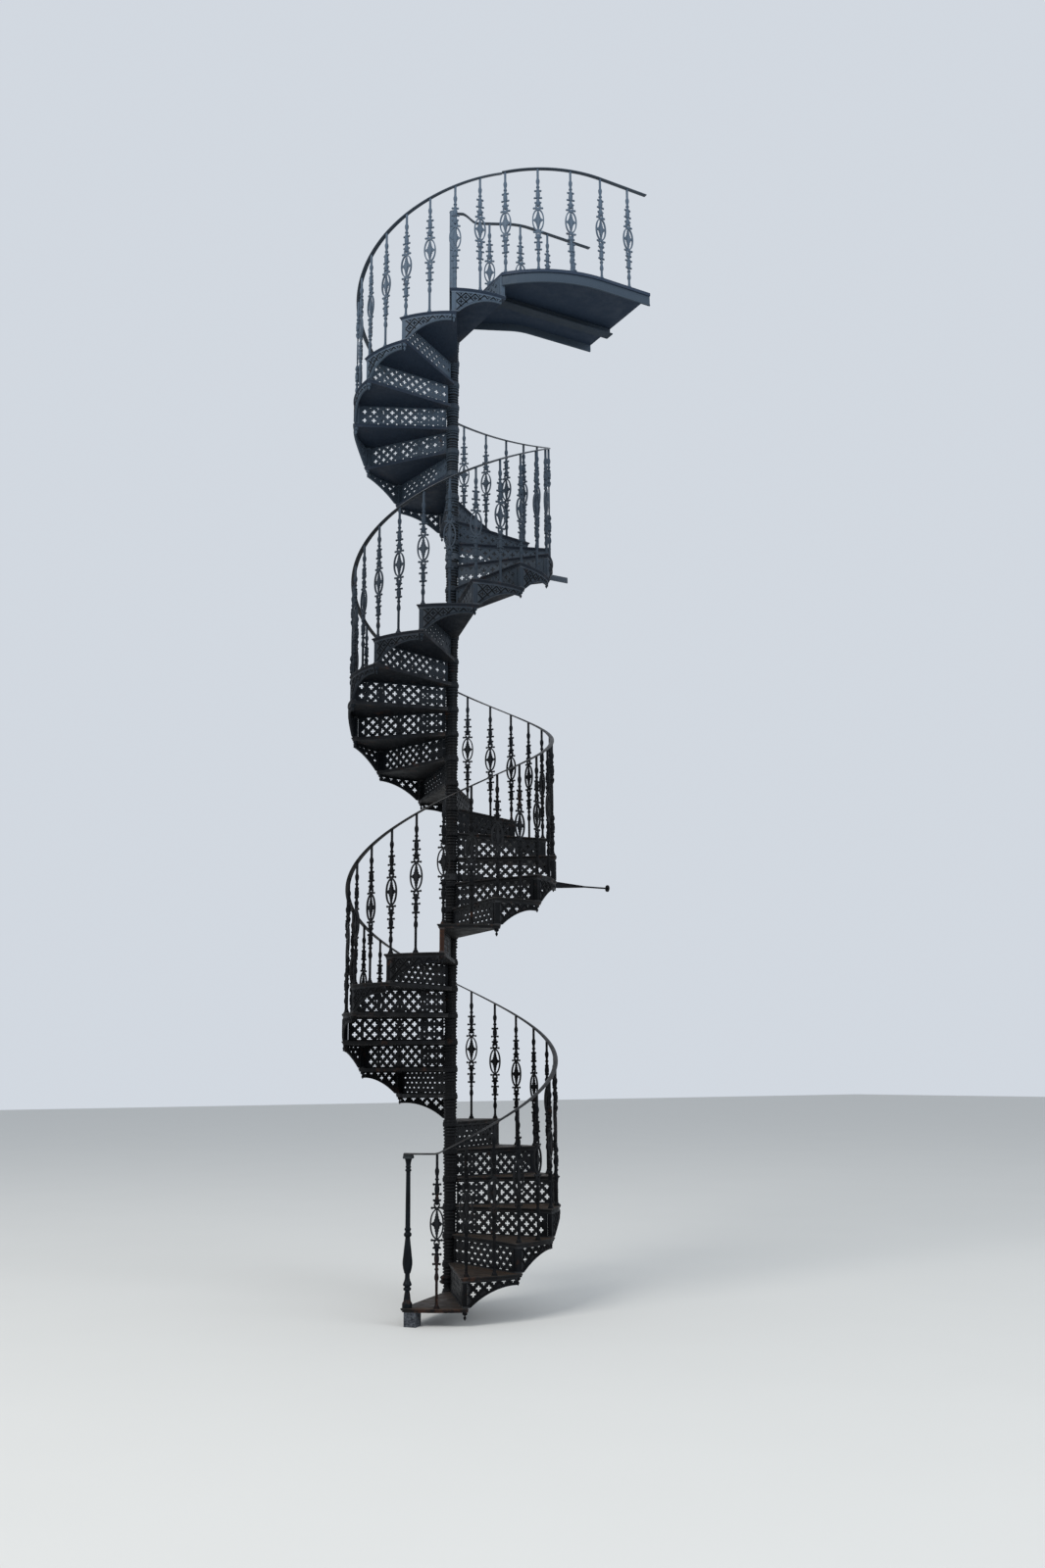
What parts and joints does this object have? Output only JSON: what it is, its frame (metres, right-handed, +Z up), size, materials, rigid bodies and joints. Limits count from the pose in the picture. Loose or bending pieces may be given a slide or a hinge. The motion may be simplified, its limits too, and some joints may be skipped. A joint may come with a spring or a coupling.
{
  "type": "spiral staircase",
  "caption": "Tall cast-iron spiral staircase with pierced risers, arched spandrels, medallion balusters, a thin handrail and a top landing that curves away.",
  "frame": {"origin": "centre of the column's foot, on the paving", "axes": "+Z up along the column, +X towards the wall and the roof that the landing leads to"},
  "size_m": [2.05, 1.775, 8.047],
  "materials": {
    "iron_steps": "black paint, dulled, with rust on the edges",
    "iron_treads": "black paint worn through to brown rust",
    "iron_railing": "black paint with a blue-grey sheen",
    "rail_steel": "black paint worn to grey metal along its edges",
    "newel_paint": "blue-black paint, semi-gloss",
    "block_paint": "dark grey paint, matt and scuffed"
  },
  "bodies": {
    "root": {"treads_flight_1": "iron_treads", "treads_flight_2": "iron_treads", "treads_flight_3": "iron_treads", "treads_flight_4": "iron_treads", "risers_flight_1": "iron_steps", "risers_flight_2": "iron_steps", "risers_flight_3": "iron_steps", "risers_flight_4": "iron_steps", "spandrels_flight_1": "iron_steps", "spandrels_flight_2": "iron_steps", "spandrels_flight_3": "iron_steps", "spandrels_flight_4": "iron_steps", "pilasters_flight_1": "iron_steps", "pilasters_flight_2": "iron_steps", "pilasters_flight_3": "iron_steps", "pilasters_flight_4": "iron_steps", "hubs_odd_steps": "iron_steps", "hubs_even_steps": "iron_steps", "balusters_flight_1": "iron_railing", "balusters_flight_2": "iron_railing", "balusters_flight_3": "iron_railing", "balusters_flight_4": "iron_railing", "handrail_flight_1": "rail_steel", "handrail_flight_2": "rail_steel", "handrail_flight_3": "rail_steel", "handrail_flight_4": "rail_steel", "column": "iron_steps", "column_base": "iron_steps", "column_cap": "iron_steps", "newel_post": "newel_paint", "newel_block": "block_paint", "landing_plate": "iron_steps", "landing_riser": "iron_steps", "landing_fascia_outer": "iron_steps", "landing_fascia_inner": "iron_steps", "landing_joist": "iron_steps", "landing_balusters_outer": "iron_railing", "landing_balusters_inner": "iron_railing", "landing_rail_outer": "rail_steel", "landing_rail_inner": "rail_steel", "wall_tie_lower": "iron_steps", "wall_tie_upper": "iron_steps"}
  },
  "joints": []
}
